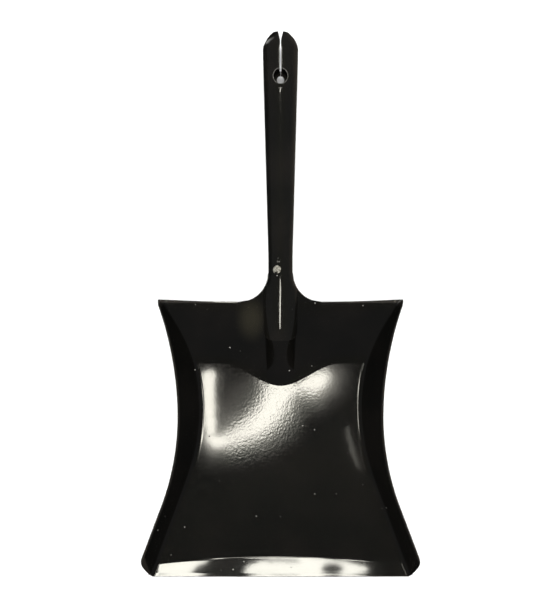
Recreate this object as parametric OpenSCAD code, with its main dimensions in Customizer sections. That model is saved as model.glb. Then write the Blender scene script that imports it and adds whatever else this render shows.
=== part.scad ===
// Pressed sheet-steel hand shovel: a flared blade with folded side walls, and a rolled tube
// handle whose open front end laps over a ridge in the blade and is plug-welded to it.
// X runs across the blade, +Y towards the handle, +Z up. The origin is on the resting face,
// midway between the front lip and the rear edge of the blade.

/* [Sheet] */
// Thickness of the blade and handle sheet
sheet = 0.9; // [0.7:0.1:1.2]
// Lacquer-filled play between the handle and the part of the blade that it laps
play = 0.15; // [0.1:0.05:0.2]

/* [Blade] */
// Length of the blade from its front lip to its rear edge
blade_len = 222; // [216:1:230]
// Narrowest width over the rims of the side walls
waist_w = 160; // [156:1:168]
// Narrowest width of the floor between the creases
floor_w = 130; // [120:1:130]
// Height of the rims at the front corners
front_rim_h = 20; // [17:1:23]
// Height of the rims at the rear corners
rear_rim_h = 28; // [26:1:32]
// Height that the floor climbs to at the rear edge
rear_rise = 18; // [15:1:20]
// Inner radius of the crease between floor and side wall
crease_r = 5; // [4:0.5:6]
// Upward slope of the front lip, in degrees
lip_slope = 8; // [4:0.5:9]

/* [Handle] */
// Length of the handle past the rear edge of the blade
handle_len = 202; // [190:1:230]
// Outer diameter of the handle at its neck
neck_d = 19; // [18.6:0.1:19.6]
// Outer diameter of the handle just before its domed end
grip_d = 26.4; // [24:0.2:28]
// Climb of the handle above the blade's floor, in degrees
handle_climb = 10; // [6:0.5:11]
// Diameter of the hole that the shovel hangs by
hang_hole_d = 11; // [8:0.5:13]
// Diameter of the smaller hole under it, in the handle's underside
under_hole_d = 6; // [4:0.5:8]
// Width of the seam along the underside of the handle
seam_w = 0.2; // [0.2:0.2:2.4]

/* [Neck weld] */
// Diameter of the plug weld at the neck
weld_d = 6.4; // [5:0.2:7]
// Height of the weld's crown above the handle
weld_crown = 0.8; // [0.5:0.1:1.2]

/* [Hidden] */
$fn = 96;

black = [0.03, 0.03, 0.03];
bare_steel = [0.55, 0.54, 0.5];

front_y = -blade_len / 2;
rear_y = blade_len / 2;
end_y = rear_y + handle_len;

// Plan curves of the blade: where each is narrowest, its radius and where it turns straight
rim_waist_y = 22;
rim_front_r = 205;
rim_rear_r = 250;
rim_straight = 73;
crease_waist_y = 25;
crease_front_r = 165;
crease_rear_r = 140;
crease_straight = 57;

// Front and rear corners of the side walls, and how far their front ends are cut back
front_corner_r = 20;
rear_corner_r = 6;
front_corner_keep = 0.08;
rear_corner_keep = 0.35;
front_corner_fall = 1.5;
front_cut = 3.4;
rear_edge_bow = 2;

// Floor: where it starts to climb at the middle, the slope of that crease in degrees, and how
// much later it climbs beside the walls, at arch_x from the middle. Then the length of the lip,
// its bend, how far the bend line arches back, and the slope of the neck in degrees
climb_y = 43;
climb_crease = 3.5;
climb_arch = 18;
arch_x = 48;
lip_len = 16.5;
lip_bend = 1.5;
lip_arch = 6;
neck_climb = 3.5;

// Ridge under the handle, and the fillets where the rear edge runs out into the tang
toe_y = climb_y;
ridge_y = 89;
ridge_half_w = 12.35;
toe_half_w = 10.5;
fillet_r = 22.5;
fillet_y = rear_y + fillet_r;
core_r = neck_d / 2 - sheet - play;
skirt_half_w = core_r + 1.55;
fillet_x = skirt_half_w + fillet_r;
flank_tilt = 6.5;
flank_round = 8;
flank_y = 74;
tang_y = rear_y + 39;

// Handle: tongue over the ridge, bend at the neck, tube and domed end
tongue_y = 80;
tongue_tip = 12;
bend_y = 123.5;
bend_len = 24;
close_y = fillet_y + 10;
grip_y = end_y - 12;
dome_len = 12;
dome_tip_r = 6.8;
dome_hole_r = 1.6;
hole_y = end_y - 31;
under_hole_shift = 2;
slit_w = 1.5;
under_slit_len = 24;

// Width of the slit at distances from the end of the handle: a notch that parts the end's two
// petals, a pinch in the top only, and an even slit from there on
top_slit = [[-1, 4.3], [7.5, 0.7], [10, 0.7], [14, slit_w]];
under_slit = [[-1, 4.3], [9, slit_w]];

// Place of the plug weld along the handle, and how far round its top it sits, in degrees
weld_y = 136;
weld_lean = -18;

// Columns of the blade's mesh on each side of its centre line, counted from that line
arc_cols = 9;
skirt_cols = arc_cols + 3;
floor_cols = skirt_cols + 5;
crease_cols = floor_cols + 5;
wall_cols = crease_cols + 3;

// Columns of the handle's mesh around its section
tube_cols = 40;

function unit(t) = max(0, min(1, t));
function ease(t) = let(s = unit(t)) s * s * (3 - 2 * s);
function mix(a, b, t) = a + (b - a) * t;

// Sideways run at distance d along an arc of radius r that goes on straight past its tangent point
function bow(d, r, straight) =
    let(a = min(abs(d), straight), fall = sqrt(r * r - a * a))
    r - fall + (abs(d) - a) * a / fall;

// Climb from a shallow crease at [y0, z0], on level ground, to [y1, z1], where its slope is m
function climb(y, y0, z0, y1, z1, m) =
    let(s = unit((y - y0) / (y1 - y0)))
    mix(z0, z1, s * s * (3 - 2 * s))
    + (y1 - y0) * (m * (s * s * s - s * s) + tan(climb_crease) * (s * s * s - 2 * s * s + s));

// Half width over the rims, half width between the creases, and height of the rims
function rim_x(y) =
    waist_w / 2 + (y < rim_waist_y ? bow(y - rim_waist_y, rim_front_r, rim_straight)
                                   : bow(y - rim_waist_y, rim_rear_r, blade_len));
function crease_x(y) =
    floor_w / 2 + (y < crease_waist_y ? bow(y - crease_waist_y, crease_front_r, crease_straight)
                                      : bow(y - crease_waist_y, crease_rear_r, blade_len));
function rim_z(y) = mix(front_rim_h, rear_rim_h, (y - front_y) / blade_len);

// Share of the wall's height that the rounded corners leave
function wall_share(y) =
    let(f = unit((front_y + front_corner_r - y) / front_corner_r),
        b = unit((y - rear_y + rear_corner_r) / rear_corner_r))
    min(mix(front_corner_keep, 1, pow(1 - f * f, front_corner_fall)),
        mix(rear_corner_keep, 1, sqrt(1 - b * b)));

// Upper side of the floor, of the ridge's crest and of the tang that both run out into
function tang_line(y) =
    let(past = unit((y - bend_y) / bend_len),
        extra = tan(handle_climb + taper_climb) - tan(neck_climb))
    rear_rise + sheet + core_r + tan(neck_climb) * (y - rear_y)
    + extra * (past * past * bend_len / 2 + max(0, y - bend_y - bend_len));
function climb_start(x) = climb_y + climb_arch * ease(abs(x) / arch_x);
function deck_z(y, x = 0) =
    y > rear_y ? tang_line(y) - core_r
               : climb(y, climb_start(x), sheet, rear_y, sheet + rear_rise, tan(neck_climb));
function crest_z(y) =
    y > ridge_y ? tang_line(y)
                : climb(y, toe_y, deck_z(toe_y), ridge_y, tang_line(ridge_y), tan(neck_climb));

// Half width of the ridge, and of the flat skirt beside it where the rear edge is filleted
function fillet_edge(y) =
    let(d = unit((fillet_y - y) / fillet_r) * fillet_r)
    fillet_x - sqrt(fillet_r * fillet_r - d * d);
function ridge_x(y) =
    y < rear_y ? mix(toe_half_w, ridge_half_w, ease((y - toe_y) / (ridge_y - toe_y)))
               : min(ridge_half_w, fillet_edge(y) - skirt_half_w + core_r);

// Rise of the skirts from their outer edge towards the ridge, and the level where the ridge starts
function flank(x, y) =
    let(d = max(0, fillet_edge(y) - abs(x)),
        fade = ease((y - flank_y) / 22) * ease((fillet_y - y) / 8),
        soft = mix(flank_round, 0.5, ease((y - rear_y + 10) / 10)))
    tan(flank_tilt) * fade * (d < soft ? d * d / soft / 2 : d - soft / 2);
function base_z(y) = deck_z(y, ridge_x(y)) + flank(ridge_x(y), y);

// Rise of the lip, past a bend line that arches back towards the blade's middle
function lip_z(x, y) =
    let(d = max(0, front_y + lip_len - lip_arch * pow(x / crease_x(front_y), 2) - y),
        bent = min(d, lip_bend))
    tan(lip_slope) * (bent * bent / lip_bend / 2 + d - bent);

// One point of the blade: column j of the section at y, on the upper (0) or lower (1) side
function foot_z(y) = deck_z(y, crease_x(y));
function fold_angle(y) = atan2(rim_z(y) - foot_z(y), rim_x(y) - crease_x(y));
function ridge_point(y, k, under) =
    let(a = 90 * k / arc_cols,
        x = (ridge_x(y) - under * sheet) * sin(a),
        round = pow(max(cos(a), 0), mix(2.2, 1, ease((y - toe_y) / (ridge_y - toe_y)))),
        toe = deck_z(y, x) + (crest_z(y) - deck_z(y)) * round,
        full = base_z(y) + (crest_z(y) - base_z(y)) * round)
    [x, mix(toe, full, ease((y - toe_y - 7) / 25)) - under * sheet];
function skirt_point(y, k, under) =
    let(x0 = ridge_x(y) - under * sheet,
        x = mix(x0, fillet_edge(y), (k - arc_cols) / (skirt_cols - arc_cols)))
    [x, deck_z(y, x) + flank(x, y) - under * sheet];
function floor_point(y, k, under) =
    let(t = (k - skirt_cols) / (floor_cols - skirt_cols),
        x1 = crease_x(y) - crease_r * tan(fold_angle(y) / 2))
    [mix(fillet_x, x1, t), deck_z(y, mix(fillet_x, x1, t)) - under * sheet];
function crease_point(y, k, under) =
    let(a = fold_angle(y) * (k - floor_cols) / (crease_cols - floor_cols),
        x0 = crease_x(y) - crease_r * tan(fold_angle(y) / 2),
        r = crease_r + under * sheet)
    [x0 + r * sin(a), foot_z(y) + crease_r - r * cos(a)];
function wall_point(y, k, under) =
    let(a = fold_angle(y),
        start = crease_r * tan(a / 2),
        leg = norm([rim_x(y) - crease_x(y), rim_z(y) - foot_z(y)]) * wall_share(y),
        d = mix(start, max(leg, start + 1), (k - crease_cols) / (wall_cols - crease_cols)))
    [crease_x(y) + d * cos(a) + under * sheet * sin(a),
     foot_z(y) + d * sin(a) - under * sheet * cos(a)];
function half_section(y, k, under) =
    k <= arc_cols ? ridge_point(y, k, under)
    : k <= skirt_cols ? skirt_point(y, k, under)
    : k <= floor_cols ? floor_point(y, k, under)
    : k <= crease_cols ? crease_point(y, k, under)
    : wall_point(y, k, under);
function blade_point(y, j, under) =
    let(p = half_section(y, abs(j), under),
        out = max(0, p[0] - fillet_x) / (rim_x(rear_y) - fillet_x),
        back = rear_edge_bow * out * out * ease((y - climb_y) / (rear_y - climb_y)),
        side = unit((p[0] - crease_x(front_y) + 1) / 4),
        cut = front_cut * side * unit(1 - (y - front_y) / 4))
    [p[0] * sign(j), y + back + cut, p[1] + lip_z(p[0], y)];

// Rows along Y. The blade and the tongue share the ones where the tongue lies on the blade.
corner_rows = [for (i = [0:6]) front_y + front_corner_r * (1 - cos(15 * i))];
floor_rows = [for (i = [1:13]) mix(front_y + front_corner_r, climb_y, i / 13)];
climb_rows = [for (y = [climb_y + 3:3:tongue_y - 1]) y];
tip_rows = [for (i = [0:4]) tongue_y + tongue_tip * (1 - cos(22.5 * i))];
lap_rows = [for (i = [1:5]) mix(tongue_y + tongue_tip, rear_y - rear_corner_r, i / 5)];
rear_rows = [for (i = [1:3]) rear_y - rear_corner_r * (1 - sin(30 * i))];
fillet_rows = [for (i = [1:8]) rear_y + fillet_r * i / 8];
tang_rows = [for (i = [1:4]) mix(fillet_y, tang_y, i / 4)];
blade_rows = concat(corner_rows, floor_rows, climb_rows, tip_rows, lap_rows, rear_rows);
blade_ys = concat(blade_rows, fillet_rows, tang_rows);
close_rows = [for (i = [1:5]) mix(fillet_y, close_y, i / 5)];
neck_rows = [for (i = [1:4]) mix(close_y, bend_y + bend_len, i / 4)];
grip_rows = [for (i = [1:8]) mix(bend_y + bend_len, grip_y, i / 8)];
dome_rows = concat([for (i = [1:6]) i / 6], [1.5, 2]);
handle_ys = concat(tip_rows, lap_rows, rear_rows, fillet_rows, close_rows, neck_rows, grip_rows);

// Reach of the blade's mesh, in columns, behind row i: full, then the skirts, then the tang alone
function reach(i) =
    i < len(blade_rows) - 1 ? wall_cols
    : i < len(blade_rows) + len(fillet_rows) - 1 ? skirt_cols
    : arc_cols;

// Closed shell between an upper and a lower grid of points, over the cells that are in use
module shell(points, rows, cols, used) {
    lower = rows * cols;
    function at(i, j) = i * cols + j;
    faces = [
        for (i = [0:rows - 2], j = [0:cols - 2])
            if (used[i][j])
                let(a = at(i, j), b = at(i, j + 1), c = at(i + 1, j + 1), d = at(i + 1, j))
                for (f = concat(
                    [[a, c, b], [a, d, c], [lower + a, lower + b, lower + c],
                     [lower + a, lower + c, lower + d]],
                    i == 0 || !used[i - 1][j] ? [[a, b, lower + b], [a, lower + b, lower + a]] : [],
                    i == rows - 2 || !used[i + 1][j] ? [[c, d, lower + d], [c, lower + d, lower + c]] : [],
                    j == 0 || !used[i][j - 1] ? [[d, a, lower + a], [d, lower + a, lower + d]] : [],
                    j == cols - 2 || !used[i][j + 1] ? [[b, c, lower + c], [b, lower + c, lower + b]] : []))
                f
    ];
    polyhedron(points = points, faces = faces);
}

module blade() {
    cols = 2 * wall_cols + 1;
    used = [for (i = [0:len(blade_ys) - 2])
        [for (j = [-wall_cols:wall_cols - 1]) max(abs(j), abs(j + 1)) <= reach(i)]];
    color(black)
    shell([for (under = [0, 1], y = blade_ys, j = [-wall_cols:wall_cols]) blade_point(y, j, under)],
          len(blade_ys), cols, used);
}

// Handle section at y: half width, half height and centre height of its outer side
taper_climb = atan((grip_d - neck_d) / 2 / (grip_y - bend_y - bend_len));
function tube_r(y) = mix(neck_d, grip_d, unit((y - bend_y - bend_len) / (grip_y - bend_y - bend_len))) / 2;
function tube_x(y) = y < fillet_y ? ridge_x(y) + sheet + play : tube_r(y);
function tube_z(y) = y < fillet_y ? crest_z(y) - base_z(y) + sheet + play : tube_r(y);
function tube_mid(y) = y < fillet_y ? base_z(y) : crest_z(y) + sheet + play - tube_r(y);

// How far round from the top the sheet reaches: a rounded tip, a half round, then nearly closed
function wrap(y) =
    let(t = unit((tongue_y + tongue_tip - y) / tongue_tip),
        shut = 180 - asin(seam_w / 2 / tube_r(y)))
    y < fillet_y ? 90 * max(sqrt(1 - t * t), 0.06)
                 : mix(90, shut, ease((y - fillet_y) / (close_y - fillet_y)));
function tube_point(y, j, under) =
    let(a = wrap(y) * (2 * j / tube_cols - 1))
    [(tube_x(y) - under * sheet) * sin(a), y, tube_mid(y) + (tube_z(y) - under * sheet) * cos(a)];

// Point of the end: turn runs from 0 to 1 along the dome, and on to 2 across its flat cap
function dome_point(turn, j, under) =
    let(a = wrap(grip_y) * (2 * j / tube_cols - 1),
        run = min(turn, 1),
        drop = grip_d / 2 - dome_tip_r,
        lean = atan(2 * drop * run / dome_len),
        r = turn < 1 ? grip_d / 2 - drop * run * run - under * sheet * cos(lean)
            : turn == 1 ? dome_tip_r - under * sheet * tan((90 - lean) / 2)
            : mix(dome_tip_r, dome_hole_r, turn - 1),
        y = grip_y + dome_len * run - under * sheet * (turn < 1 ? sin(lean) : 1))
    [r * sin(a), y, tube_mid(grip_y) + tan(handle_climb) * (y - grip_y) + r * cos(a)];

// Places its children on the handle's centre line at y, with their Z square to the tube
module on_handle(y, lean = 0) {
    translate([0, y, tube_mid(y)])
        rotate([handle_climb, 0, 0])
        rotate([0, lean, 0])
        children();
}

// Outline of a slit of the given widths that ends at distance far from the end of the handle
module slit(widths, far) {
    side = concat([for (p = widths) [p[1] / 2, end_y - p[0]]], [[slit_w / 2, end_y - far]]);
    polygon(concat(side, [for (i = [len(side) - 1:-1:0]) [-side[i][0], side[i][1]]]));
}

// Slit in the top from the hanging hole to the end, and a shorter one in the underside
module end_slits() {
    translate([0, 0, tube_mid(hole_y)])
        linear_extrude(2 * grip_d)
        slit(top_slit, end_y - hole_y);
    translate([0, 0, tube_mid(hole_y) - grip_d])
        linear_extrude(grip_d)
        slit(under_slit, under_slit_len);
}

module handle() {
    rows = len(handle_ys) + len(dome_rows);
    points = [for (under = [0, 1]) each concat(
        [for (y = handle_ys, j = [0:tube_cols]) tube_point(y, j, under)],
        [for (turn = dome_rows, j = [0:tube_cols]) dome_point(turn, j, under)])];
    used = [for (i = [0:rows - 2]) [for (j = [0:tube_cols - 1]) true]];
    color(black)
    difference() {
        shell(points, rows, tube_cols + 1, used);
        on_handle(hole_y) cylinder(h = grip_d, d = hang_hole_d);
        on_handle(hole_y) translate([0, -under_hole_shift, -grip_d]) cylinder(h = grip_d, d = under_hole_d);
        end_slits();
        on_handle(weld_y, weld_lean) cylinder(h = neck_d, d = weld_d);
    }
}

// Plug weld: a pin that fills the handle's hole down to the tang, under a low crown
module neck_weld() {
    base = core_r + play;
    top = neck_d / 2;
    crown_r = (pow(weld_d / 2, 2) + weld_crown * weld_crown) / (2 * weld_crown);
    color(bare_steel)
    on_handle(weld_y, weld_lean)
    union() {
        translate([0, 0, base]) cylinder(h = top - base, d = weld_d);
        intersection() {
            translate([0, 0, top + weld_crown - crown_r]) sphere(r = crown_r);
            translate([0, 0, top]) cylinder(h = 2 * weld_crown, d = weld_d);
        }
    }
}

blade();
handle();
neck_weld();
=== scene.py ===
"""Black lacquered hand shovel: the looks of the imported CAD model.

Every visible piece is rebuilt as a fine mesh on the CAD model's own surfaces. Lengths inside the
shape functions are millimetres, as in the design; meshes, lights and the camera are in metres.
"""

import math

import bmesh
import bpy
import numpy as np
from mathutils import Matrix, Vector, noise


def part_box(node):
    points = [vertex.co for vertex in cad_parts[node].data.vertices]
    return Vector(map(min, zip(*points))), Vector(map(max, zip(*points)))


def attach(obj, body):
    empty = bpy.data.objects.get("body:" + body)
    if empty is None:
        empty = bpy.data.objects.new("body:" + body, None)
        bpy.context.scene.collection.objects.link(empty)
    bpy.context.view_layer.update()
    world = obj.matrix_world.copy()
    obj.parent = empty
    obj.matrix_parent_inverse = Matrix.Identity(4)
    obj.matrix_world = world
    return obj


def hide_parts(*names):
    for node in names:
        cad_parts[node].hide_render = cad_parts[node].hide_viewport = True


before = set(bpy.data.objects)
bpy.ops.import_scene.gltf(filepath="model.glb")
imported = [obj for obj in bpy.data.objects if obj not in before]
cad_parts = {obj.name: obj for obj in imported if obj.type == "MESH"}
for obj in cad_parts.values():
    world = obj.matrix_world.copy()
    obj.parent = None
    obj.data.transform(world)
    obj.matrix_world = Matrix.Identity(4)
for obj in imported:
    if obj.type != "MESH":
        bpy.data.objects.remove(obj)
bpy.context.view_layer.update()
MM = 0.001

# ---------------------------------------------------------------- sizes, in millimetres
blade_lo, blade_hi = (np.array(corner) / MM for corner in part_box("blade"))
handle_hi = np.array(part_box("handle")[1]) / MM

SHEET = 0.9
PLAY = 0.15
FRONT_Y = blade_lo[1]
REAR_Y = -FRONT_Y
END_Y = handle_hi[1]
GRIP_R = handle_hi[0]
NECK_R = 9.5

# side walls, seen from above: waist, radii, and how far from the waist they run straight
RIM_WAIST_X, RIM_WAIST_Y, RIM_FRONT_R, RIM_REAR_R = 80.0, 22.0, 205.0, 250.0
FOOT_WAIST_X, FOOT_WAIST_Y, FOOT_FRONT_R, FOOT_REAR_R = 65.0, 25.0, 165.0, 140.0
RIM_STRAIGHT, FOOT_STRAIGHT = 73.0, 57.0
# the blade ends before these; they keep the rear arcs short of a quarter circle
RIM_REAR_STRAIGHT, FOOT_REAR_STRAIGHT = 200.0, 120.0
FRONT_RIM_H, REAR_RIM_H = 20.0, 28.0
FOLD_R = 5.0
FRONT_CORNER, FRONT_KEEP, FRONT_FALL, FRONT_CUT = 20.0, 0.08, 1.5, 3.4
REAR_CORNER, REAR_KEEP = 6.0, 0.35
REAR_EDGE_BOW = 2.0

# floor: climb at the rear and lip at the front
REAR_RISE, CREASE_SLOPE = 18.0, math.tan(math.radians(3.5))
CLIMB_Y, CLIMB_ARCH, ARCH_X = 43.0, 18.0, 48.0
LIP_LEN, LIP_BEND, LIP_ARCH = 16.5, 1.5, 6.0
LIP_ANGLE = math.radians(8)
LIP_SLOPE = math.tan(LIP_ANGLE)

# ridge, tang and handle
NECK_SLOPE = math.tan(math.radians(3.5))
CORE_R = NECK_R - SHEET - PLAY
RIDGE_Y, RIDGE_X, TOE_X = 89.0, 12.35, 10.5
FILLET_R = 22.5
FILLET_Y = REAR_Y + FILLET_R
SKIRT_X = CORE_R + 1.55
FILLET_X = SKIRT_X + FILLET_R
TANG_Y = REAR_Y + 39
FLANK_SLOPE, FLANK_ROUND, FLANK_Y = math.tan(math.radians(6.5)), 8.0, 74.0
TONGUE_Y, TONGUE_TIP = 80.0, 12.0
BEND_Y, BEND_LEN = 123.5, 24.0
CLOSE_Y = FILLET_Y + 10
DOME_LEN, DOME_TIP_R, DOME_HOLE_R = 12.0, 6.8, 1.6
GRIP_Y = END_Y - DOME_LEN
CLIMB_ANGLE = math.radians(10)
TAPER = (GRIP_R - NECK_R) / (GRIP_Y - BEND_Y - BEND_LEN)
TOP_SLOPE = math.tan(CLIMB_ANGLE + math.atan(TAPER))
HOLE_Y, HOLE_R, UNDER_HOLE_R, UNDER_HOLE_SHIFT = END_Y - 31.0, 5.5, 3.0, 2.0
SEAM_W, SLIT_W, UNDER_SLIT_LEN = 0.2, 1.5, 24.0
# distances from the end of the handle, and the slit's widths there
TOP_SLIT = ((-1, 7.5, 10, 14), (4.3, 0.7, 0.7, SLIT_W))
UNDER_SLIT = ((-1, 9), (4.3, SLIT_W))
WELD_Y, WELD_R, WELD_LEAN = 136.0, 3.2, math.radians(-18)

# surface detail that the solids don't have
DENT_DEPTH = 0.05
BLADE_CUT_R, HANDLE_CUT_R = 0.3, 0.25
# painted reflection: a brown patch left of the tang, painted in where the warm room would be
# mirrored
REFLECTION_PATCH_X, REFLECTION_PATCH_Y, REFLECTION_PATCH_HALF_W, REFLECTION_PATCH_HALF_L = -23, 97, 13, 19
PUNCH_REACH, PUNCH_DRAW = 2.2, 0.62

# how the grids are laid and cut; FAR stands for a cut that is nowhere near
AROUND, ROW_PASSES = 192, 6
FAR, NEAR_HOLE, SNAP = 99.0, 15, 1.2
# the tongue's rows start this far round its tip, in radians, which leaves out its first 0.3 mm
TIP_FROM = 0.22
# reach of the joins before and after the sheet gets its thickness, and the least faces in a bit
JOIN_FIRST, JOIN_LAST, LEAST_FACES = 0.03, 0.002, 20
# the handle's rounded edges stay this far under the top of its CAD box
CEILING_GAP = 0.01


# ---------------------------------------------------------------- shape functions
def unit(t):
    return np.clip(t, 0.0, 1.0)


def ease(t):
    s = unit(t)
    return s * s * (3 - 2 * s)


def mix(a, b, t):
    return a + (b - a) * t


def bow(d, r, straight):
    """Sideways run at distance d along an arc that goes on straight past its tangent point."""
    a = np.minimum(np.abs(d), straight)
    fall = np.sqrt(r * r - a * a)
    return r - fall + (np.abs(d) - a) * a / fall


def climb(y, y0, z0, y1, z1, slope):
    s = unit((y - y0) / (y1 - y0))
    bends = slope * (s**3 - s**2) + CREASE_SLOPE * (s**3 - 2 * s**2 + s)
    return mix(z0, z1, s * s * (3 - 2 * s)) + (y1 - y0) * bends


def rim_x(y):
    run = np.where(
        y < RIM_WAIST_Y,
        bow(y - RIM_WAIST_Y, RIM_FRONT_R, RIM_STRAIGHT),
        bow(y - RIM_WAIST_Y, RIM_REAR_R, RIM_REAR_STRAIGHT),
    )
    return RIM_WAIST_X + run


def foot_x(y):
    run = np.where(
        y < FOOT_WAIST_Y,
        bow(y - FOOT_WAIST_Y, FOOT_FRONT_R, FOOT_STRAIGHT),
        bow(y - FOOT_WAIST_Y, FOOT_REAR_R, FOOT_REAR_STRAIGHT),
    )
    return FOOT_WAIST_X + run


def rim_z(y):
    return mix(FRONT_RIM_H, REAR_RIM_H, (y - FRONT_Y) / (REAR_Y - FRONT_Y))


def wall_share(y):
    """Share of the wall's height that the rounded corners leave."""
    front = unit((FRONT_Y + FRONT_CORNER - y) / FRONT_CORNER)
    back = unit((y - REAR_Y + REAR_CORNER) / REAR_CORNER)
    return np.minimum(
        mix(FRONT_KEEP, 1, (1 - front**2) ** FRONT_FALL), mix(REAR_KEEP, 1, np.sqrt(1 - back**2))
    )


def tang_z(y):
    """Upper side of the tang's crest, and of the straight part of the ridge."""
    past = unit((y - BEND_Y) / BEND_LEN)
    extra = TOP_SLOPE - NECK_SLOPE
    bent = extra * (past * past * BEND_LEN / 2 + np.maximum(0, y - BEND_Y - BEND_LEN))
    return REAR_RISE + SHEET + CORE_R + NECK_SLOPE * (y - REAR_Y) + bent


def deck_z(y, x=0.0):
    """Upper side of the floor, beside the ridge at x."""
    start = CLIMB_Y + CLIMB_ARCH * ease(np.abs(x) / ARCH_X)
    floor = climb(y, start, SHEET, REAR_Y, SHEET + REAR_RISE, NECK_SLOPE)
    return np.where(y > REAR_Y, tang_z(y) - CORE_R, floor)


def crest_z(y):
    toe = climb(y, CLIMB_Y, SHEET, RIDGE_Y, tang_z(RIDGE_Y), NECK_SLOPE)
    return np.where(y > RIDGE_Y, tang_z(y), toe)


def fillet_edge(y):
    d = unit((FILLET_Y - y) / FILLET_R) * FILLET_R
    return FILLET_X - np.sqrt(FILLET_R**2 - d * d)


def ridge_x(y):
    toe = mix(TOE_X, RIDGE_X, ease((y - CLIMB_Y) / (RIDGE_Y - CLIMB_Y)))
    return np.where(y < REAR_Y, toe, np.minimum(RIDGE_X, fillet_edge(y) - SKIRT_X + CORE_R))


def flank(x, y):
    """Rise of the skirts from their outer edge towards the ridge."""
    d = np.maximum(0, fillet_edge(y) - np.abs(x))
    fade = ease((y - FLANK_Y) / 22) * ease((FILLET_Y - y) / 8)
    soft = mix(FLANK_ROUND, 0.5, ease((y - REAR_Y + 10) / 10))
    return FLANK_SLOPE * fade * np.where(d < soft, d * d / soft / 2, d - soft / 2)


def base_z(y):
    """Level at which the ridge starts."""
    return deck_z(y, ridge_x(y)) + flank(ridge_x(y), y)


def lip_z(x, y):
    d = np.maximum(0, FRONT_Y + LIP_LEN - LIP_ARCH * (x / foot_x(FRONT_Y)) ** 2 - y)
    bent = np.minimum(d, LIP_BEND)
    return LIP_SLOPE * (bent * bent / LIP_BEND / 2 + d - bent)


def tube_r(y):
    return NECK_R + (GRIP_R - NECK_R) * unit((y - BEND_Y - BEND_LEN) / (GRIP_Y - BEND_Y - BEND_LEN))


def tube_section(y):
    """Half width, half height and centre height of the handle's outer side."""
    lap = y < FILLET_Y
    half_w = np.where(lap, ridge_x(y) + SHEET + PLAY, tube_r(y))
    half_h = np.where(lap, crest_z(y) - base_z(y) + SHEET + PLAY, tube_r(y))
    return half_w, half_h, np.where(lap, base_z(y), crest_z(y) + SHEET + PLAY - tube_r(y))


def wrap(y):
    """How far round from the top the handle's sheet reaches, in radians."""
    tip = unit((TONGUE_Y + TONGUE_TIP - y) / TONGUE_TIP)
    shut = math.pi - np.arcsin(SEAM_W / 2 / tube_r(y))
    open_part = math.pi / 2 * np.maximum(np.sqrt(1 - tip * tip), 0.06)
    closing = mix(math.pi / 2, shut, ease((y - FILLET_Y) / (CLOSE_Y - FILLET_Y)))
    return np.where(y < FILLET_Y, open_part, closing)


# ---------------------------------------------------------------- mesh helpers
def spaced(a, b, step):
    count = max(1, int(round((b - a) / step)))
    return np.linspace(a, b, count + 1)[1:]


def grid_mesh(name, points, used, layers, sharp_row=None):
    """A mesh of quads over the cells in use of a grid of points in millimetres."""
    index = np.full(points.shape[:2], -1)
    cells = zip(*np.nonzero(used))
    faces = [((i, j), (i, j + 1), (i + 1, j + 1), (i + 1, j)) for i, j in cells]
    keep = sorted({corner for face in faces for corner in face})
    for n, (i, j) in enumerate(keep):
        index[i, j] = n
    verts = [tuple(points[i, j] * MM) for i, j in keep]
    mesh = bpy.data.meshes.new(name)
    mesh.from_pydata(verts, [], [[int(index[c]) for c in face] for face in faces])
    for title, values in layers.items():
        layer = mesh.attributes.new(title, "FLOAT", "POINT")
        layer.data.foreach_set("value", [float(values[i, j]) for i, j in keep])
    mesh.update()
    if sharp_row is not None:
        creased = set(int(n) for n in index[sharp_row] if n >= 0)
        sharp = [edge.vertices[0] in creased and edge.vertices[1] in creased for edge in mesh.edges]
        mesh.attributes.new("sharp_edge", "BOOLEAN", "EDGE").data.foreach_set("value", sharp)
    piece = bpy.data.objects.new(name, mesh)
    bpy.context.scene.collection.objects.link(piece)
    for face in mesh.polygons:
        face.use_smooth = True
    return piece


def join_close(piece, reach):
    """Joins points that lie within reach of each other and drops the faces this empties."""
    bm = bmesh.new()
    bm.from_mesh(piece.data)
    bmesh.ops.remove_doubles(bm, verts=bm.verts, dist=reach * MM)
    bmesh.ops.dissolve_degenerate(bm, edges=bm.edges, dist=reach * MM)
    bm.to_mesh(piece.data)
    bm.free()


def drop_strays(piece, least):
    """Deletes bits of fewer faces than least that share no plain edge with the rest."""
    bm = bmesh.new()
    bm.from_mesh(piece.data)
    seen, stray = set(), []
    for first in bm.faces:
        if first in seen:
            continue
        seen.add(first)
        bit = [first]
        for face in bit:
            for edge in face.edges:
                beyond = edge.link_faces if len(edge.link_faces) == 2 else ()
                fresh = [near for near in beyond if near not in seen]
                seen.update(fresh)
                bit.extend(fresh)
        if len(bit) < least:
            stray += bit
    bmesh.ops.delete(bm, geom=stray, context="FACES")
    bm.to_mesh(piece.data)
    bm.free()


def thicken(piece, edge_r, ceiling):
    """Gives a sheet its thickness, away from its face, and rounds its cut edges.

    Points that the rounding lifts over the ceiling are put back on it.
    """
    solid = piece.modifiers.new("sheet", "SOLIDIFY")
    solid.thickness = SHEET * MM
    solid.offset = -1
    solid.use_even_offset = True
    solid.use_quality_normals = True
    round_over = piece.modifiers.new("cut_edge", "BEVEL")
    round_over.width = edge_r * MM
    round_over.segments = 3
    round_over.limit_method = "ANGLE"
    round_over.angle_limit = math.radians(50)
    depsgraph = bpy.context.evaluated_depsgraph_get()
    made = bpy.data.meshes.new_from_object(
        piece.evaluated_get(depsgraph), preserve_all_data_layers=True, depsgraph=depsgraph
    )
    piece.modifiers.clear()
    piece.data = made
    for vertex in made.vertices:
        vertex.co.z = min(vertex.co.z, ceiling * MM)


# ---------------------------------------------------------------- blade
def dents(x, y):
    """Shallow unevenness of pressed sheet, never below the true face."""
    return 0.5 + 0.5 * noise.noise(Vector((x / 34 + 3.1, y / 41 - 1.7, 0.4)))


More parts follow.
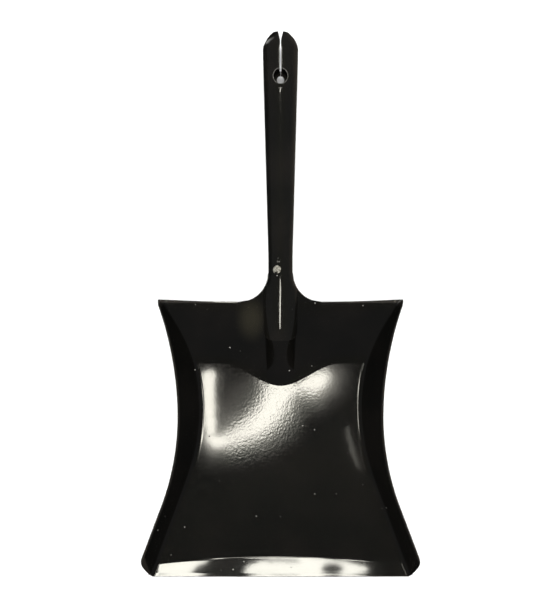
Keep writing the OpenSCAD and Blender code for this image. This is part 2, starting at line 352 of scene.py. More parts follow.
ARCH_COLS, SKIRT_COLS, FLOOR_COLS, FOLD_COLS, WALL_COLS = 21, 12, 26, 14, 12


def blade_section(y):
    """x and z of the right half of the blade's upper side, with a column of y for each point."""
    ends = np.cumsum([ARCH_COLS, SKIRT_COLS, FLOOR_COLS, FOLD_COLS, WALL_COLS])
    y_arch, y_skirt, y_floor, y_fold, y_wall = np.split(y, ends[:-1], axis=1)

    turn = np.linspace(0, math.pi / 2, ARCH_COLS)[None, :]
    sharp = mix(2.2, 1.0, ease((y_arch - CLIMB_Y) / (RIDGE_Y - CLIMB_Y)))
    hump = np.maximum(np.cos(turn), 0) ** sharp
    arch_x = ridge_x(y_arch) * np.sin(turn)
    toe = deck_z(y_arch, arch_x) + (crest_z(y_arch) - deck_z(y_arch)) * hump
    full = base_z(y_arch) + (crest_z(y_arch) - base_z(y_arch)) * hump
    arch_z = mix(toe, full, ease((y_arch - CLIMB_Y - 7) / 25))

    outward = np.linspace(0, 1, SKIRT_COLS + 1)[None, 1:]
    skirt_x = mix(ridge_x(y_skirt), fillet_edge(y_skirt), outward)
    skirt_z = deck_z(y_skirt, skirt_x) + flank(skirt_x, y_skirt)

    def fold_at(y):
        foot = foot_x(y)
        foot_z = deck_z(y, foot)
        fold = np.arctan2(rim_z(y) - foot_z, rim_x(y) - foot)
        return foot, foot_z, fold, FOLD_R * np.tan(fold / 2)

    foot, foot_z, fold, start = fold_at(y_floor)
    floor_x = mix(FILLET_X, foot - start, np.linspace(0, 1, FLOOR_COLS + 1)[None, 1:])
    floor_z = deck_z(y_floor, floor_x)

    foot, foot_z, fold, start = fold_at(y_fold)
    bend = fold * np.linspace(0, 1, FOLD_COLS + 1)[None, 1:]
    fold_x = foot - start + FOLD_R * np.sin(bend)
    fold_z = foot_z + FOLD_R * (1 - np.cos(bend))

    foot, foot_z, fold, start = fold_at(y_wall)
    leg = np.hypot(rim_x(y_wall) - foot, rim_z(y_wall) - foot_z) * wall_share(y_wall)
    reach = mix(start, np.maximum(leg, start + 1), np.linspace(0, 1, WALL_COLS + 1)[None, 1:])
    wall_x = foot + reach * np.cos(fold)
    wall_z = foot_z + reach * np.sin(fold)
    return (
        np.hstack([arch_x, skirt_x, floor_x, fold_x, wall_x]),
        np.hstack([arch_z, skirt_z, floor_z, fold_z, wall_z]),
    )


def follow_bends(row, x):
    """y of the mesh's rows, bent so that rows follow the crease of the climb and the lip's bend."""
    climbing = np.interp(row, [-20, CLIMB_Y, 104], [0, 1, 0])
    lip_end = FRONT_Y + LIP_LEN
    lipping = np.interp(row, [FRONT_Y, lip_end - LIP_BEND, lip_end, lip_end + 30], [0, 1, 1, 0])
    arch = CLIMB_ARCH * ease(x / ARCH_X)
    return row + climbing * arch - lipping * LIP_ARCH * (x / foot_x(FRONT_Y)) ** 2


def make_blade():
    lip_end = FRONT_Y + LIP_LEN
    fillet = REAR_Y + FILLET_R * np.sin(np.linspace(0, math.pi / 2, 27))[1:]
    body = np.concatenate(
        [
            [FRONT_Y],
            spaced(FRONT_Y, lip_end - LIP_BEND, 0.5),
            spaced(lip_end - LIP_BEND, lip_end, 0.25),
            spaced(lip_end, lip_end + 6, 0.6),
            spaced(lip_end + 6, CLIMB_Y, 1.8),
            spaced(CLIMB_Y, CLIMB_Y + 6, 0.6),
            spaced(CLIMB_Y + 6, REAR_Y - REAR_CORNER, 1.1),
            REAR_Y - REAR_CORNER * (1 - np.sin(np.linspace(0, math.pi / 2, 8)))[1:],
        ]
    )
    tang = spaced(FILLET_Y, TANG_Y, 2.0)
    row = np.concatenate([body, fillet, tang])[:, None]
    half = ARCH_COLS + SKIRT_COLS + FLOOR_COLS + FOLD_COLS + WALL_COLS
    y = np.repeat(row, half, axis=1)
    for _ in range(ROW_PASSES):
        y = follow_bends(row, blade_section(y)[0])
    half_x, half_z = blade_section(y)
    out = np.maximum(0, half_x - FILLET_X) / (rim_x(REAR_Y) - FILLET_X)
    side = unit((half_x - foot_x(FRONT_Y) + 1) / 4)
    half_y = y + REAR_EDGE_BOW * out * out * ease((y - CLIMB_Y) / (REAR_Y - CLIMB_Y))
    half_y = half_y + FRONT_CUT * side * unit(1 - (y - FRONT_Y) / 4)
    half_y = half_y + SHEET * math.sin(LIP_ANGLE) * unit(1 - (y - FRONT_Y) / 3)
    half_z = half_z + lip_z(half_x, y)

    x = np.hstack([-half_x[:, :0:-1], half_x])
    z = np.hstack([half_z[:, :0:-1], half_z])
    yy = np.hstack([half_y[:, :0:-1], half_y])
    wave = np.vectorize(dents)(x, yy)
    away = ease((np.abs(x) - RIDGE_X) / 12 + np.maximum(0, CLIMB_Y + 8 - yy) / 12)
    inward = ease((rim_x(yy) - np.abs(x)) / 12)
    z = z + DENT_DEPTH * wave * away * inward
    points = np.stack([x, yy, z], axis=2)

    middle = half - 1
    column = np.abs(np.arange(2 * middle) + 0.5 - middle)
    number = np.arange(len(row) - 1)[:, None]
    past_fillet = number >= len(body) + len(fillet) - 1
    narrow = np.where(past_fillet, ARCH_COLS - 1, ARCH_COLS - 1 + SKIRT_COLS)
    used = column[None, :] < np.where(number < len(body) - 1, middle, narrow)

    side = np.minimum(np.abs(rim_x(yy) - np.abs(x)), np.abs(yy - FRONT_Y))
    back = np.maximum(fillet_edge(yy) - np.abs(x), 0) + np.maximum(REAR_Y - yy, 0)
    back = np.where(yy < REAR_Y - 3, FAR, back)
    edge = np.clip(1 - np.minimum(side, back) / 2.5, 0, 1)
    crease_row = int(np.argmin(np.abs(row[:, 0] - CLIMB_Y)))
    # painted reflection: mask of a brown patch on the blade that stands in for the warm room's
    # reflection
    painted_reflection = ease(1.15 - np.hypot((x - REFLECTION_PATCH_X) / REFLECTION_PATCH_HALF_W, (yy - REFLECTION_PATCH_Y) / REFLECTION_PATCH_HALF_L))
    blade = grid_mesh("blade_sheet", points, used, {"edge": edge, "painted_reflection": painted_reflection}, crease_row)
    thicken(blade, BLADE_CUT_R, blade_hi[2])
    return blade


# ---------------------------------------------------------------- handle
def slot_half(y, top):
    """Half width of the slit in the handle's top or underside, 0 where there is none."""
    from_end = END_Y - y
    if from_end > (END_Y - HOLE_Y if top else UNDER_SLIT_LEN):
        return 0.0
    return float(np.interp(from_end, *(TOP_SLIT if top else UNDER_SLIT))) / 2


def outside_hole(x, y, z, top):
    """Distance from the wall of the top or the underside hole, negative inside it."""
    mid = float(tube_section(HOLE_Y)[2])
    along = (y - HOLE_Y) * math.cos(CLIMB_ANGLE) + (z - mid) * math.sin(CLIMB_ANGLE)
    if top:
        return math.hypot(x, along) - HOLE_R
    return math.hypot(x, along + UNDER_HOLE_SHIFT) - UNDER_HOLE_R


def make_handle():
    tip = TONGUE_Y + TONGUE_TIP * (1 - np.cos(np.linspace(TIP_FROM, math.pi / 2, 14)))
    fine_from = HOLE_Y - HOLE_R - 3
    y = np.concatenate(
        [
            tip,
            spaced(tip[-1], FILLET_Y, 1.2),
            spaced(FILLET_Y, CLOSE_Y, 0.8),
            spaced(CLOSE_Y, BEND_Y + BEND_LEN, 1.2),
            spaced(BEND_Y + BEND_LEN, fine_from, 3.0),
            spaced(fine_from, GRIP_Y, 0.4),
        ]
    )
    dome = np.concatenate([np.linspace(0, 1, 26)[1:], np.linspace(1, 2, 8)[1:]])
    share = np.linspace(-1, 1, AROUND + 1)

    def at(row, s):
        """Point of the outer face: row counts along y and then round the dome, s is -1 to 1."""
        if row < len(y):
            yy = y[row]
            half_w, half_h, mid = (float(v) for v in tube_section(yy))
            a = float(wrap(yy)) * s
            return np.array([half_w * math.sin(a), yy, mid + half_h * math.cos(a)])
        turn = dome[row - len(y)]
        a = float(wrap(GRIP_Y)) * s
        mid = float(tube_section(GRIP_Y)[2])
        run = min(turn, 1.0)
        r = GRIP_R - (GRIP_R - DOME_TIP_R) * run * run
        spot = Vector((2.6 * math.sin(a), 2.6 * math.cos(a), 2.2 * run))
        hammered = 0.5 + 0.5 * noise.noise(spot)
        r = mix(r, DOME_HOLE_R, max(0.0, turn - 1)) - 0.55 * min(1.0, 2 * run) * hammered
        yy = GRIP_Y + DOME_LEN * run
        lift = math.tan(CLIMB_ANGLE) * (yy - GRIP_Y)
        return np.array([r * math.sin(a), yy, mid + lift + r * math.cos(a)])

    rows = len(y) + len(dome)
    points = np.array([[at(i, t) for t in share] for i in range(rows)])
    top = np.broadcast_to(np.abs(share)[None, :] < 0.5, points.shape[:2])
    hole = np.full(points.shape[:2], FAR)
    slot = np.full(points.shape[:2], FAR)
    for i, j in np.ndindex(hole.shape):
        p = points[i, j]
        hole[i, j] = outside_hole(*p, top[i, j]) if abs(p[1] - HOLE_Y) < NEAR_HOLE else FAR
        half = slot_half(p[1], top[i, j])
        slot[i, j] = abs(p[0]) - half if half > 0 else FAR

    def middle(values):
        return (values[:-1, :-1] + values[1:, :-1] + values[:-1, 1:] + values[1:, 1:]) / 4

    used = (middle(hole) > 0) & (middle(slot) > 0)

    # a point on the border of what is kept slides onto the cut's own line
    padded = np.pad(used, 1, constant_values=True)
    kept = padded[:-1, :-1].astype(int) + padded[1:, :-1] + padded[:-1, 1:] + padded[1:, 1:]
    shut = float(wrap(GRIP_Y))
    for i, j in zip(*np.nonzero((kept > 0) & (kept < 4))):
        x, yy, _ = points[i, j]
        half = slot_half(yy, top[i, j])
        if half > 0 and abs(slot[i, j]) < SNAP and abs(slot[i, j]) < abs(hole[i, j]):
            r = float(tube_section(yy)[0]) if i < len(y) else abs(points[i, AROUND // 4, 0])
            a = math.asin(min(1.0, half / max(r, half)))
            a = a if top[i, j] else math.pi - a
            points[i, j] = at(i, math.copysign(min(a / shut, 1.0), x))
        elif abs(hole[i, j]) < SNAP:
            points[i, j] = slide_to_hole(points[i, j], top[i, j])
    edge = np.clip(1 - np.minimum(np.abs(hole), np.abs(slot)) / 1.6, 0, 1)
    for i, yy in enumerate(y):
        if yy < FILLET_Y:
            side = (1 - np.abs(share)) * float(wrap(yy) * tube_section(yy)[0])
            rubbed = np.clip(1 - np.minimum(side, yy - TONGUE_Y + 0.3) / 1.5, 0, 1)
            edge[i] = np.maximum(edge[i], rubbed)

    # the punch draws the rim of the hanging hole inwards
    for i, j in zip(*np.nonzero((hole > -0.5) & (hole < PUNCH_REACH) & top)):
        middle_z = float(tube_section(points[i, j, 1])[2])
        inward = np.array([points[i, j, 0], 0.0, points[i, j, 2] - middle_z])
        draw = PUNCH_DRAW * (1 - max(0.0, hole[i, j]) / PUNCH_REACH) ** 2
        points[i, j] -= inward / np.linalg.norm(inward) * draw
    # painted highlight: mask of the hanging hole's top rim, painted light grey where it would catch
    # the light
    rim_glint = np.where(top, np.clip(1 - np.abs(hole) / 1.1, 0, 1), 0.0)
    spatter = np.hypot((points[:, :, 0] + 1.6) / 2.2, (points[:, :, 1] - WELD_Y - 7) / 2.8)
    scuff = np.where(top, np.clip(1 - spatter, 0, 1), 0.0)
    handle = grid_mesh("handle_tube", points, used, {"edge": edge, "rim_glint": rim_glint, "scuff": scuff})
    join_close(handle, JOIN_FIRST)
    thicken(handle, HANDLE_CUT_R, handle_hi[2] - CEILING_GAP)
    join_close(handle, JOIN_LAST)
    drop_strays(handle, LEAST_FACES)
    return handle


def on_tube(x, y, top):
    """Point of the handle's outer face over (x, y), on its upper or under side."""
    half_w, half_h, mid = (float(v) for v in tube_section(y))
    up = half_h * math.sqrt(max(0.0, 1 - (x / half_w) ** 2))
    return np.array([x, y, mid + up if top else mid - up])


def slide_to_hole(point, top):
    """Moves a point of the tube square onto the wall of the hole on its own side."""
    x, y = point[0], point[1]
    step = 1e-3
    for _ in range(6):
        d = outside_hole(*on_tube(x, y, top), top)
        gx = (outside_hole(*on_tube(x + step, y, top), top) - d) / step
        gy = (outside_hole(*on_tube(x, y + step, top), top) - d) / step
        size = gx * gx + gy * gy
        if size < 1e-6:
            break
        x, y = x - d * gx / size, y - d * gy / size
    return on_tube(x, y, top)


# ---------------------------------------------------------------- weld at the neck
def make_weld():
    """The weld's crown: an open, rough sheet on the tube, with a pit and a burnt rim."""
    rings, around = 26, 72
    points, faces, burnt = [], [], []
    for k in range(rings + 1):
        share = k / rings
        for n in range(around):
            a = 2 * math.pi * n / around
            lobe = 1 + 0.10 * math.sin(2 * a + 0.6) + 0.05 * math.sin(5 * a)
            u = WELD_R * share * lobe * math.cos(a)
            v = 1.18 * WELD_R * share * lobe * math.sin(a)
            crown = 0.62 * (1 - share**2.6) * ease((1 - share) * 8)
            rough = noise.noise(Vector((u * 0.9, v * 0.9, 1.3))) * 0.34
            fine = noise.noise(Vector((u * 3.1, v * 3.1, 7.7))) * 0.10
            pit = math.exp(-((u + 0.7) ** 2 / 1.1 + (v + 2.5) ** 2 / 0.8))
            lift = crown + (rough + fine - 0.9 * pit) * float(ease((1 - share) * 5)) - 0.06 * share
            burnt.append(min(1.0, 1.3 * pit + 0.5 * share**8))
            lean = WELD_LEAN + u / NECK_R
            r = NECK_R + lift
            yy = WELD_Y + v
            base = float(tube_section(yy)[2])
            points.append((r * math.sin(lean) * MM, yy * MM, (base + r * math.cos(lean)) * MM))
    for k in range(rings):
        for n in range(around):
            m = (n + 1) % around
            a, b = k * around + n, k * around + m
            faces.append((a, a + around, b + around, b))
    mesh = bpy.data.meshes.new("neck_weld_nugget")
    mesh.from_pydata(points, [], faces)
    mesh.attributes.new("burnt", "FLOAT", "POINT").data.foreach_set("value", burnt)
    piece = bpy.data.objects.new("neck_weld_nugget", mesh)
    bpy.context.scene.collection.objects.link(piece)
    bm = bmesh.new()
    bm.from_mesh(mesh)
    bmesh.ops.remove_doubles(bm, verts=bm.verts, dist=1e-6)
    bmesh.ops.recalc_face_normals(bm, faces=bm.faces)
    bm.to_mesh(mesh)
    bm.free()
    for face in mesh.polygons:
        face.use_smooth = True
    return piece


# ---------------------------------------------------------------- materials
class Nodes:
    """Short names for building a node tree."""

    def __init__(self, tree):
        self.tree = tree

    def add(self, kind, **settings):
        node = self.tree.nodes.new(kind)
        for key, value in settings.items():
            setattr(node, key, value)
        return node

    def link(self, output, socket):
        self.tree.links.new(output, socket)

    def attribute(self, name):
        return self.add("ShaderNodeAttribute", attribute_name=name).outputs["Fac"]

    def ramp(self, value, low, high, out_low=0.0, out_high=1.0):
        node = self.add("ShaderNodeMapRange", interpolation_type="SMOOTHSTEP")
        self.link(value, node.inputs["Value"])
        node.inputs["From Min"].default_value = low
        node.inputs["From Max"].default_value = high
        node.inputs["To Min"].default_value = out_low
        node.inputs["To Max"].default_value = out_high
        return node.outputs["Result"]

    def math(self, kind, a, b):
        node = self.add("ShaderNodeMath", operation=kind)
        for socket, value in zip(node.inputs, (a, b)):
            if isinstance(value, (int, float)):
                socket.default_value = value
            else:
                self.link(value, socket)
        return node.outputs[0]

    def blend(self, factor, a, b):
        node = self.add("ShaderNodeMix", data_type="RGBA")
        self.link(factor, node.inputs["Factor"])
        for socket, value in ((node.inputs[6], a), (node.inputs[7], b)):
            if isinstance(value, tuple):
                socket.default_value = (*value, 1)
            else:
                self.link(value, socket)
        return node.outputs[2]


class Surface(Nodes):
    """A new material's node tree, with its shader and the object's own coordinates."""

    def __init__(self, name):
        self.material = bpy.data.materials.new(name)
        self.material.use_nodes = True
        super().__init__(self.material.node_tree)
        self.shader = self.tree.nodes["Principled BSDF"]
        self.place = self.add("ShaderNodeTexCoord").outputs["Object"]

    def noise(self, scale, detail=2.0, rough=0.5):
        node = self.add("ShaderNodeTexNoise")
        self.link(self.place, node.inputs["Vector"])
        node.inputs["Scale"].default_value = scale
        node.inputs["Detail"].default_value = detail
        node.inputs["Roughness"].default_value = rough
        return node.outputs["Fac"]

    def bump(self, height, distance, under=None):
        node = self.add("ShaderNodeBump")
        node.inputs["Distance"].default_value = distance
        node.inputs["Strength"].default_value = 1.0
        self.link(height, node.inputs["Height"])
        if under is not None:
            self.link(under, node.inputs["Normal"])
        return node.outputs["Normal"]


# colours of the lacquer and of what shows on it; bump heights in metres
DARK_BLACK, LIGHT_BLACK = (0.0026, 0.0026, 0.0022), (0.0046, 0.0041, 0.0034)
# the brown on the next line is a painted reflection of the warm room, not a colour of the lacquer
PAINTED_REFLECTION_BROWN, NIB_GREY = (0.017, 0.0153, 0.0100), (0.42, 0.41, 0.37)
RUBBED_EDGE, WORN_EDGE = (0.034, 0.031, 0.027), (0.030, 0.022, 0.015)
# the first grey on the next line is a painted highlight on the hanging hole's rim
PAINTED_RIM_GLINT, SCUFF_FLECK = (0.20, 0.195, 0.18), (0.13, 0.125, 0.11)
PEEL_H, SWELL_H, NIB_H = 0.000013, 0.000006, 0.00012
COAT_ROUGH, UNDERCOAT_GLOSS = 0.035, 0.035
# orange peel fades to this share over these distances, in metres
PEEL_LEAST = 0.12
PEEL_LEFT, PEEL_RIGHT, PEEL_FRONT = (-0.051, -0.036), (0.012, 0.050), (-0.097, -0.090)


def lacquer(name, peel=1.0, painted_lightening=1.0):
    """Gloss black lacquer: orange peel, dust nibs, a brown patch that is a painted reflection,
    rubbed edges, a painted highlight round the hanging hole, and scuffs.

    peel scales the orange peel's height; the last argument scales the brightness of the black,
    which is painted light: a lighter, lit copy of the same lacquer.
    """
    n = Surface(name)
    drift = n.ramp(n.noise(22, 3), 0.35, 0.7)
    # painted light: the black is scaled lighter by the last argument
    dark, light = (tuple(painted_lightening * c for c in colour) for colour in (DARK_BLACK, LIGHT_BLACK))
    black = n.blend(drift, dark, light)
    # painted reflection: brown mixed into the black where the warm room would be mirrored
    black = n.blend(n.attribute("painted_reflection"), black, PAINTED_REFLECTION_BROWN)

    plan = n.add("ShaderNodeVectorMath", operation="MULTIPLY")
    n.link(n.place, plan.inputs[0])
    plan.inputs[1].default_value = (1, 1, 0.05)
    cells = n.add("ShaderNodeTexVoronoi", feature="F1")
    n.link(plan.outputs[0], cells.inputs["Vector"])
    cells.inputs["Scale"].default_value = 105
    lottery = n.add("ShaderNodeSeparateColor")
    n.link(cells.outputs["Color"], lottery.inputs["Color"])
    drawn = n.ramp(lottery.outputs["Red"], 0.60, 0.62)
    chosen = n.math("MULTIPLY", drawn, lottery.outputs["Green"])
    nib = n.math("MULTIPLY", n.ramp(cells.outputs["Distance"], 0.03, 0.07, 1.0, 0.0), chosen)
    black = n.blend(nib, black, NIB_GREY)

    rim = n.attribute("edge")
    black = n.blend(n.math("MULTIPLY", n.ramp(rim, 0.45, 0.9), 0.6), black, RUBBED_EDGE)
    worn = n.math("MULTIPLY", n.ramp(rim, 0.82, 1.0), n.ramp(n.noise(260, 4, 0.65), 0.50, 0.66))
    black = n.blend(worn, black, WORN_EDGE)
    # painted highlight: light grey round the rim of the hanging hole
    rim_glint = n.ramp(n.attribute("rim_glint"), 0.45, 0.85)
    bright = n.math("MULTIPLY", rim_glint, n.ramp(n.noise(210, 2), 0.35, 0.6, 0.15, 0.8))
    black = n.blend(bright, black, PAINTED_RIM_GLINT)
    scuff = n.ramp(n.attribute("scuff"), 0.1, 0.6)
    flecks = n.math("MULTIPLY", scuff, n.ramp(n.noise(700, 3, 0.6), 0.52, 0.62))
    colour = n.blend(flecks, black, SCUFF_FLECK)
    n.link(colour, n.shader.inputs["Base Color"])

    haze = n.ramp(n.noise(48, 3), 0.3, 0.75, 0.26, 0.36)
    rough = n.math("ADD", haze, n.math("MULTIPLY", nib, 0.3))
    n.link(rough, n.shader.inputs["Roughness"])
    n.shader.inputs["Coat Weight"].default_value = 1.0
    n.shader.inputs["Coat Roughness"].default_value = COAT_ROUGH
    n.shader.inputs["Coat IOR"].default_value = 1.5
    n.shader.inputs["Specular IOR Level"].default_value = UNDERCOAT_GLOSS

    across = n.add("ShaderNodeSeparateXYZ")
    n.link(n.place, across.inputs[0])
    left = n.ramp(across.outputs["X"], *PEEL_LEFT, PEEL_LEAST, 1.0)
    right = n.ramp(across.outputs["X"], *PEEL_RIGHT, 1.0, PEEL_LEAST)
    front = n.ramp(across.outputs["Y"], *PEEL_FRONT, PEEL_LEAST, 1.0)
    thin = n.math("MULTIPLY", n.math("MULTIPLY", left, right), front)
    skin = n.bump(n.math("MULTIPLY", n.noise(620, 2.0, 0.5), thin), PEEL_H * peel)
    swell = n.bump(n.noise(95, 1.0, 0.4), SWELL_H * peel, under=skin)
    dusty = n.bump(nib, NIB_H, under=swell)
    n.link(dusty, n.shader.inputs["Normal"])
    n.link(dusty, n.shader.inputs["Coat Normal"])
    return n.material


def bare_weld(name):
    """Rough grey weld metal in light and dark patches, with dark scale and a burnt pit and rim."""
    n = Surface(name)
    patch = n.ramp(n.noise(620, 4, 0.6), 0.38, 0.62)
    grey = n.blend(patch, (0.24, 0.22, 0.18), (0.72, 0.70, 0.60))
    scale = n.ramp(n.noise(1100, 3, 0.7), 0.56, 0.66)
    grey = n.blend(scale, grey, (0.05, 0.042, 0.034))
    colour = n.blend(n.ramp(n.attribute("burnt"), 0.15, 0.75), grey, (0.018, 0.011, 0.008))
    n.link(colour, n.shader.inputs["Base Color"])
    n.link(n.ramp(n.noise(900, 3), 0.3, 0.7, 0.38, 0.66), n.shader.inputs["Roughness"])
    n.shader.inputs["Metallic"].default_value = 0.55
    n.link(n.bump(n.noise(1500, 4, 0.6), 0.0002), n.shader.inputs["Normal"])
    return n.material


def plain(name, colour, rough):
    n = Surface(name)
    shade = n.blend(n.noise(6, 2), colour, tuple(0.985 * c for c in colour))
    n.link(shade, n.shader.inputs["Base Color"])
    n.shader.inputs["Roughness"].default_value = rough
    n.shader.inputs["Specular IOR Level"].default_value = 0.0
    return n.material


# ---------------------------------------------------------------- studio
# the camera looks straight down from here, in metres
CAMERA_H, CAMERA_Y = 0.750, 0.10965
LONG_SIDE_PX, FOCAL_PX, SHIFT_PX, SENSOR = 607, 926.0, -14.0, 36.0
FLOOR_HALF, FLOOR_DROP = 1.1, 0.0006


def make_camera():
    data = bpy.data.cameras.new("camera")
    data.sensor_width = SENSOR
    data.lens = FOCAL_PX * SENSOR / LONG_SIDE_PX
    data.shift_x = SHIFT_PX / LONG_SIDE_PX
    camera = bpy.data.objects.new("camera", data)
    camera.location = (0, CAMERA_Y, CAMERA_H)
    bpy.context.scene.collection.objects.link(camera)
    bpy.context.scene.camera = camera


def make_floor():
    mesh = bpy.data.meshes.new("studio_floor")
    s = FLOOR_HALF
    mesh.from_pydata([(-s, -s, 0), (s, -s, 0), (s, s, 0), (-s, s, 0)], [], [(0, 1, 2, 3)])
    floor = bpy.data.objects.new("studio_floor", mesh)
    bpy.context.scene.collection.objects.link(floor)
    floor.location.z = -FLOOR_DROP
    floor.data.materials.append(plain("floor_paper", (0.92, 0.92, 0.91), 0.9))
    floor.visible_glossy = False


def overhead(name, y, height, size, power, shape):
    """A light straight over y on the centre line, which the lacquer doesn't mirror."""
    data = bpy.data.lights.new(name, "AREA")
    data.shape = shape
    data.size = data.size_y = size
    data.energy = power
    light = bpy.data.objects.new(name, data)
    light.location = (0, y, height)
    light.rotation_euler = Vector((0, 0, -height)).to_track_quat("-Z", "Y").to_euler()
    bpy.context.scene.collection.objects.link(light)
    light.visible_glossy = False


# glow cards: height in metres, strength of the light, cells a side, and what counts as dark
CARD_H, CARD_STRENGTH, CARD_CELLS, CARD_DIM = 20.0, 26.0, 110, 0.002


def distance_to_outline(x, y, outline):
    """Signed distance to a closed outline, negative inside it."""
    inside, nearest = False, 1e9
    for (x0, y0), (x1, y1) in zip(outline, outline[1:] + outline[:1]):
        dx, dy = x1 - x0, y1 - y0
        t = max(0.0, min(1.0, ((x - x0) * dx + (y - y0) * dy) / (dx * dx + dy * dy)))
        nearest = min(nearest, math.hypot(x - x0 - t * dx, y - y0 - t * dy))
        if (y0 > y) != (y1 > y) and x < x0 + (y - y0) * dx / dy:
            inside = not inside
    return -nearest if inside else nearest


def glow_material(name, colour):
    """Light as strong as the mesh's glow attribute says, and nothing else."""
    material = bpy.data.materials.new(name)
    material.use_nodes = True
    n = Nodes(material.node_tree)
    n.tree.nodes.clear()
    lamp = n.add("ShaderNodeEmission")
    lamp.inputs["Color"].default_value = (*colour, 1)
    n.link(n.math("MULTIPLY", n.attribute("glow"), CARD_STRENGTH), lamp.inputs["Strength"])
    n.link(lamp.outputs[0], n.add("ShaderNodeOutputMaterial").inputs["Surface"])
    return material


def glow_card(name, box, glow, colour, tilt=0.0):
    """A glowing sheet over the shovel, seen only as the mirror image that the lacquer makes of it.

    glow gives its brightness where that image falls on the blade, in millimetres; the sheet lies
    where rays from the camera go after a mirror tilted by tilt radians about X. Cells too dim to
    see are left out.
    """
    verts, values, faces = [], [], []
    for j in range(CARD_CELLS + 1):
        y = mix(box[1], box[3], j / CARD_CELLS)
        away = CARD_H * math.tan(2 * tilt - math.atan((CAMERA_Y - y * MM) / CAMERA_H))
        for i in range(CARD_CELLS + 1):
            x = mix(box[0], box[2], i / CARD_CELLS)
            values.append(float(glow(x, y)))
            verts.append((x * MM * (1 + CARD_H / CAMERA_H), y * MM + away, CARD_H))
    for j in range(CARD_CELLS):
        for i in range(CARD_CELLS):
            a = j * (CARD_CELLS + 1) + i
            b = a + CARD_CELLS + 1
            if max(values[a], values[a + 1], values[b], values[b + 1]) > CARD_DIM:
                faces.append((a, b, b + 1, a + 1))
    mesh = bpy.data.meshes.new(name)
    mesh.from_pydata(verts, [], faces)
    mesh.attributes.new("glow", "FLOAT", "POINT").data.foreach_set("value", values)
    card = bpy.data.objects.new(name, mesh)
    bpy.context.scene.collection.objects.link(card)
    card.data.materials.append(glow_material(name, colour))
    card.visible_camera = False
    card.visible_diffuse = False
    card.visible_shadow = False
    card.visible_transmission = False


# outlines of the reflections where they fall on the blade, in millimetres
BAR = [(-63.2, 52), (-61.5, 55), (-55.5, 55), (-53.8, 51), (-53.8, 34.4), (-51.8, 20.7),
       (-50.4, 5.3), (-57.6, 4.4), (-60.6, 19), (-62.4, 38.4)]
VEE = [(-58, 4), (-45.6, 2.4), (-38.6, 6.6), (-30.2, 12.2), (-21.9, 19.1), (-16.3, 26.2),
       (-12.1, 34.5), (-9.3, 40), (-10, 48), (14, 48), (20, 50.5), (30, 55), (36.5, 55), (40, 51),
       (37.5, 44), (32, 39.5), (26.9, 37.3), (20, 38.7), (14.4, 38.7), (8.8, 38), (7.4, 33.1),
       (4.6, 24.7), (0.4, 17.8), (-5.2, 10.8), (-13.5, 4.5), (-21.9, 1), (-33, -1.7),
       (-44.2, -4.6), (-52.6, -6), (-56.8, -1.7)]
VEIL = [(-52.6, -9), (-35.8, -10), (-8, -11), (6, 1), (14.4, 12), (22, 23), (36, 26), (44, 38),
        (44, 50), (-10, 50), (-19, 48), (-31, 48.5), (-44, 38), (-48, 20)]
SIDE_STREAK = [(53.5, 9.4), (55.6, 0), (58.6, -10), (62.5, -21), (65, -25), (61, -12), (57, 0),
               (55, 9.4)]


def window_glow(x, y):
    """Glow over the blade's floor: a bar, a vee with its halo, a faint veil and a side streak."""
    bar = distance_to_outline(x, y, BAR)
    vee = distance_to_outline(x, y, VEE)
    core = max(float(ease(0.5 - bar / 1.6)), float(ease(0.5 - vee / 5)))
    veil = 0.04 * float(ease(0.5 - distance_to_outline(x, y, VEIL) / 9))
    halo = 0.42 * math.exp(-max(0.0, vee) / 4.5) + 0.024 * math.exp(-max(0.0, min(bar, vee)) / 8)
    streak = 0.2 * float(ease(0.5 - distance_to_outline(x, y, SIDE_STREAK) / 2))
    return min(1.0, max(core + (halo + veil) * (1 - core), streak))


LIP_LEFT = [(-102, -112), (-101, -108), (-98.7, -105), (-94.3, -99.4), (-88.2, -98), (-79.2, -95),
            (-68.7, -93), (-54.5, -93), (-58.2, -98.7), (-64.3, -101.7), (-68.7, -106.1),
            (-72.4, -109.9), (-74, -112)]
LIP_RIGHT = [(-30, -108.5), (-23.9, -103.2), (-17.8, -100.9), (-8.8, -97.2), (-4, -93), (20, -93),
             (36.2, -96), (51.1, -99), (64.6, -102.6), (68.4, -106.1), (64.6, -108.4), (56, -112),
             (-20.8, -112)]
LIP_SPREAD = 1 + 4 * LIP_SLOPE * LIP_ARCH * CAMERA_H / MM / float(foot_x(FRONT_Y)) ** 2


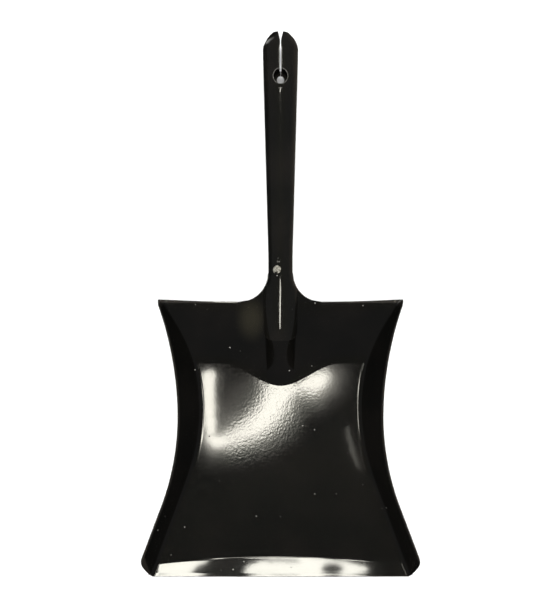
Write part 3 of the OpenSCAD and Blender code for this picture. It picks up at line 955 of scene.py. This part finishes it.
def lip_glow(x, y):
    """Glow over the lip, with a dark knot and slit; the arched bend spreads its image sideways."""
    x = x / LIP_SPREAD
    left = float(ease(0.5 - distance_to_outline(x, y, LIP_LEFT) / 2.4))
    right = float(ease(0.5 - distance_to_outline(x, y, LIP_RIGHT) / 2.4))
    knot = math.hypot((x - 41) / 10.5, (y + 104.8) / 5.5)
    slit = math.exp(-(((y + 98.7) / 1.3) ** 2) - max(0.0, abs(x - 1) - 9) ** 2 / 12)
    haze = 0.014 * math.exp(-max(0.0, abs(x + 15) - 85) / 8)
    round_knot = float(0.01 + 0.99 * ease((knot - 0.6) / 0.4))
    return max(left, right * round_knot * (1 - 0.95 * slit), haze)


def make_lights():
    overhead("overhead_key", CAMERA_Y, 2.4, 0.24, 62, "DISK")
    overhead("overhead_fill", 0.1, 2.6, 3.2, 38, "RECTANGLE")
    glow_card("window_reflection", (-85, -40, 75, 85), window_glow, (1.0, 0.97, 0.86))
    lip_box = (-132, -113.5, 102, -92)
    glow_card("lip_reflection", lip_box, lip_glow, (1.0, 0.98, 0.88), LIP_ANGLE)


def make_world():
    """White to the camera. The lacquer mirrors a dim room: near black low on the left, warmer low
    on the right, and bright low on the left past the end of the handle.
    """
    world = bpy.data.worlds.new("studio")
    bpy.context.scene.world = world
    world.use_nodes = True
    n = Nodes(world.node_tree)
    way = n.add("ShaderNodeSeparateXYZ")
    n.link(n.add("ShaderNodeTexCoord").outputs["Generated"], way.inputs[0])
    x, y, z = way.outputs["X"], way.outputs["Y"], way.outputs["Z"]
    side = n.blend(n.ramp(x, -0.1, 0.6), (0.012, 0.012, 0.012), (0.16, 0.14, 0.12))
    past_end = n.blend(n.ramp(x, -0.66, -0.56), (2.4, 2.4, 2.3), side)
    below = n.blend(n.ramp(y, 0.35, 0.55), side, past_end)
    room = n.blend(n.ramp(z, -0.25, 0.2), below, (0.10, 0.10, 0.105))
    room = n.blend(n.ramp(z, 0.75, 0.98), room, (0.085, 0.085, 0.075))
    to_camera = n.add("ShaderNodeLightPath").outputs["Is Camera Ray"]
    n.link(n.blend(to_camera, room, (0.95, 0.95, 0.95)), n.tree.nodes["Background"].inputs["Color"])


# ---------------------------------------------------------------- put together
def finish_piece(piece, node, material):
    piece.data.materials.append(material)
    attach(piece, "root")
    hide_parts(node)


finish_piece(make_blade(), "blade", lacquer("blade_lacquer"))
# painted light: the handle's lacquer is a copy of the blade's, painted 1.8 times lighter
finish_piece(make_handle(), "handle", lacquer("handle_lacquer", 0.4, 1.8))
finish_piece(make_weld(), "neck_weld", bare_weld("weld_steel"))
make_floor()
make_lights()
make_world()
make_camera()
bpy.context.scene.view_settings.view_transform = "Standard"
